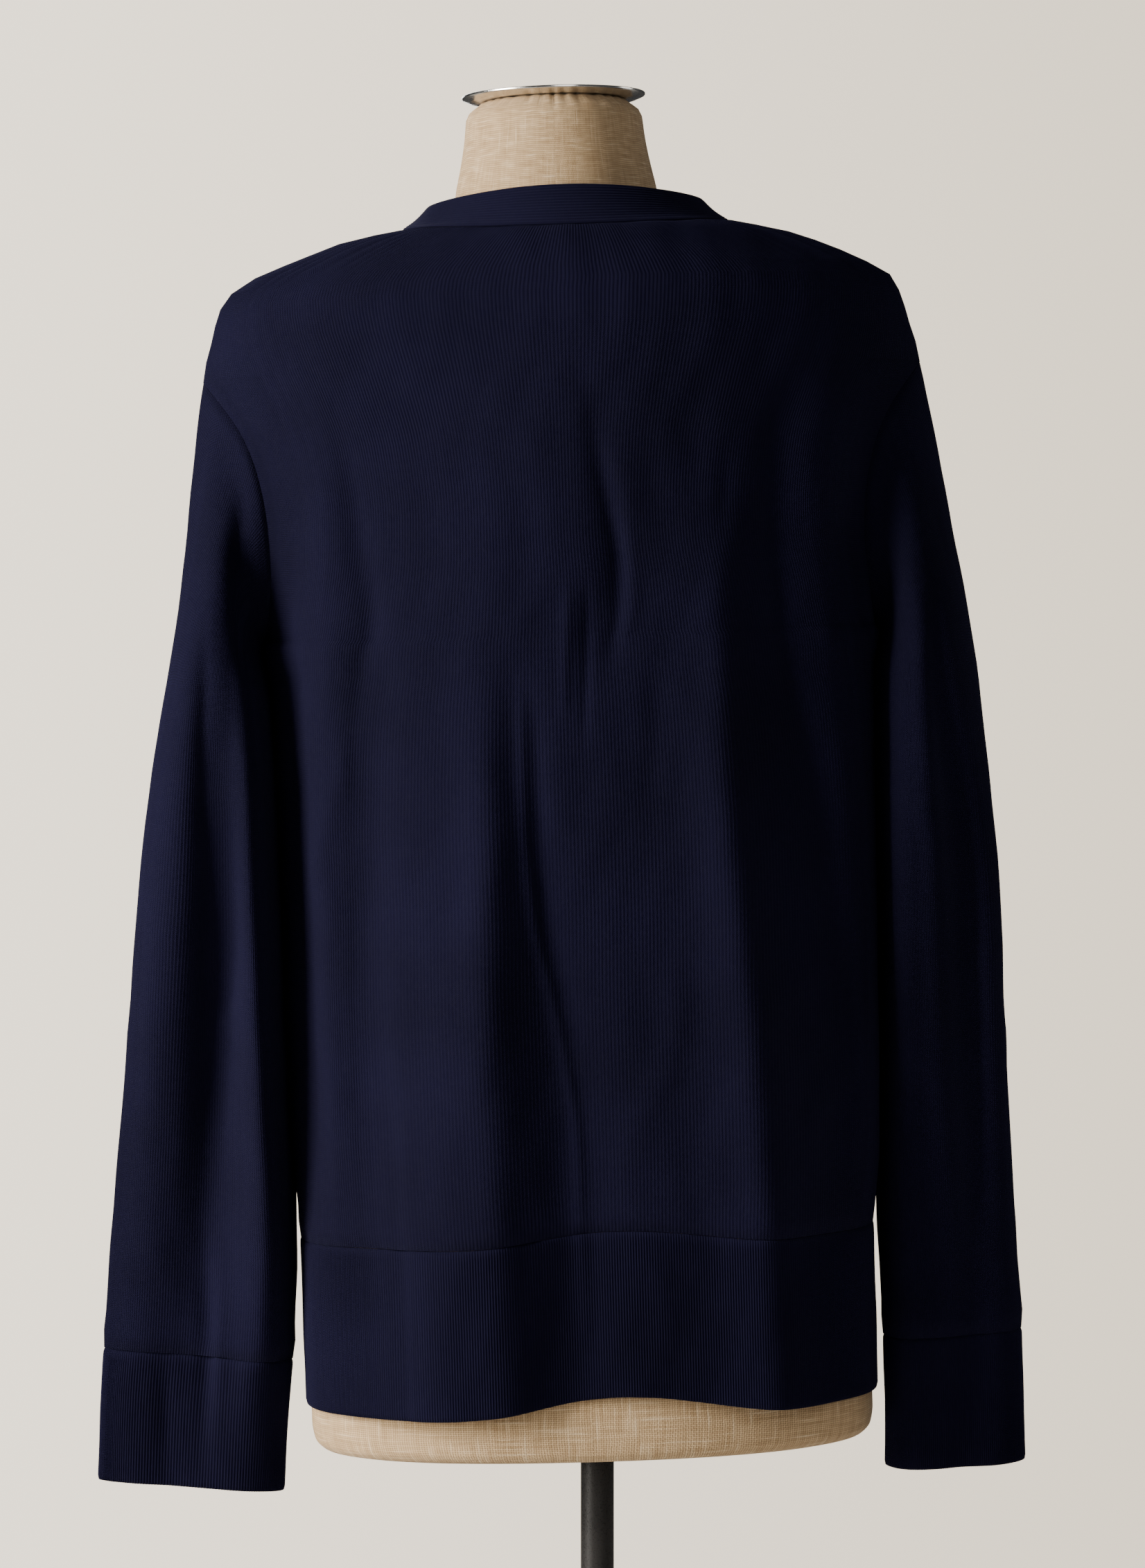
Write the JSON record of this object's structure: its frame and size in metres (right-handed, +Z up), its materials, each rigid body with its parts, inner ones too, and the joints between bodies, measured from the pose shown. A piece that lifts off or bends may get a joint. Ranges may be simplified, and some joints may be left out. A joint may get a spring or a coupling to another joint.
{
  "type": "cardigan on a limbless dress form with a stand",
  "caption": "Fine-knit V-neck cardigan with ribbed hem, cuffs and neckband, worn by a linen-covered limbless dress form on a pole and round base.",
  "frame": {"origin": "on the floor, under the middle of the stand's base and the pole", "axes": "+Z up along the pole, +Y the way the garment's back faces, +X the wearer's left"},
  "size_m": [0.5586, 0.38, 1.5144],
  "materials": {
    "navy_knit": "matte",
    "navy_rib": "matte",
    "linen": "matte",
    "cap_metal": "satin",
    "pole_black": "satin",
    "base_black": "satin",
    "button_navy": "satin"
  },
  "bodies": {
    "root": {"torso_form": "linen", "neck_cap": "cap_metal", "stand_pole": "pole_black", "stand_base": "base_black", "back_panel": "navy_knit", "front_left": "navy_knit", "front_right": "navy_knit", "back_hem_rib": "navy_rib", "front_left_hem_rib": "navy_rib", "front_right_hem_rib": "navy_rib", "sleeve_left": "navy_knit", "sleeve_right": "navy_knit", "cuff_left": "navy_rib", "cuff_right": "navy_rib", "neck_band": "navy_rib", "button_1": "button_navy", "button_2": "button_navy", "button_3": "button_navy", "button_4": "button_navy", "button_5": "button_navy", "button_6": "button_navy", "button_7": "button_navy"}
  },
  "joints": []
}
